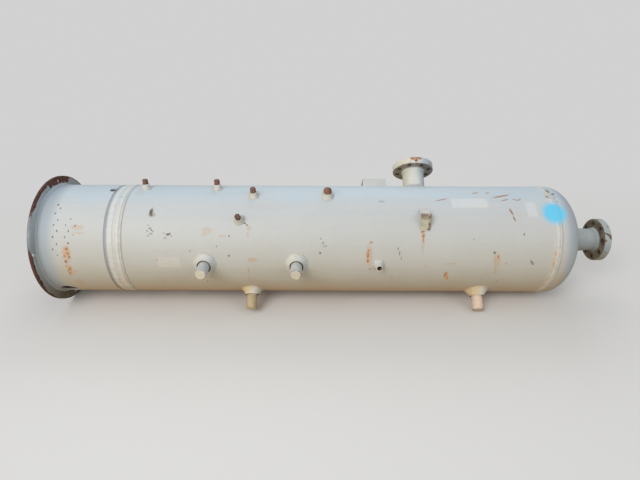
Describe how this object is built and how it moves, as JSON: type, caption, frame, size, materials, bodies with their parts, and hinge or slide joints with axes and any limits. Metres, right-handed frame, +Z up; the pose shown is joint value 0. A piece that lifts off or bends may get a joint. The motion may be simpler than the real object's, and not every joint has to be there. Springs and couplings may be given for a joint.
{
  "type": "three-phase separator",
  "caption": "Upright pressure vessel lying on its side, with dished heads, a skirt and base ring, flanged inlet and gas outlet, and plugged threaded fittings.",
  "frame": {"origin": "middle of the bounding box's footprint, on the ground that the vessel lies on", "axes": "+X along the vessel from its base ring to its gas outlet, with the vessel's own axis leaning 1 degree down to +X; +Y away from the side with the level fittings; +Z up"},
  "size_m": [3.1324, 0.8334, 0.7365],
  "materials": {
    "shell_paint": "weathered light grey enamel with dust, chips and rust specks",
    "ring_paint": "grey enamel, rusted brown along the rim",
    "weld_paint": "grey enamel over weld metal, with light rust",
    "nozzle_paint": "cream grey enamel with rusty edges",
    "plug_paint": "cream grey enamel, dusty",
    "plug_rust": "bare forged steel, rusted red brown",
    "clip_paint": "grey enamel with rusty edges",
    "plate_metal": "bare dulled steel"
  },
  "bodies": {
    "root": {"base_ring": "ring_paint", "base_ring_weld": "weld_paint", "skirt": "shell_paint", "skirt_weld": "weld_paint", "bottom_head": "shell_paint", "bottom_seam_weld": "weld_paint", "shell": "shell_paint", "top_seam_weld": "weld_paint", "top_head": "shell_paint", "gas_outlet_nozzle": "nozzle_paint", "gas_outlet_weld": "weld_paint", "inlet_nozzle": "nozzle_paint", "inlet_weld": "weld_paint", "angle_clip": "clip_paint", "nameplate_bracket": "clip_paint", "nameplate": "plate_metal", "water_outlet_fitting": "nozzle_paint", "water_level_fitting": "nozzle_paint", "oil_outlet_fitting": "nozzle_paint", "oil_level_fitting": "nozzle_paint", "relief_fitting": "nozzle_paint", "water_gauge_lower_fitting": "nozzle_paint", "water_gauge_upper_fitting": "nozzle_paint", "thermowell_fitting": "nozzle_paint", "oil_gauge_lower_fitting": "nozzle_paint", "oil_gauge_upper_fitting": "nozzle_paint", "gauge_tap_fitting": "nozzle_paint", "drain_fitting": "nozzle_paint", "water_level_plug": "plug_paint", "oil_level_plug": "plug_paint", "oil_outlet_plug": "plug_paint", "relief_plug": "plug_paint", "water_gauge_lower_plug": "plug_rust", "water_gauge_upper_plug": "plug_rust", "thermowell_plug": "plug_rust", "oil_gauge_lower_plug": "plug_rust", "oil_gauge_upper_plug": "plug_rust"}
  },
  "joints": []
}
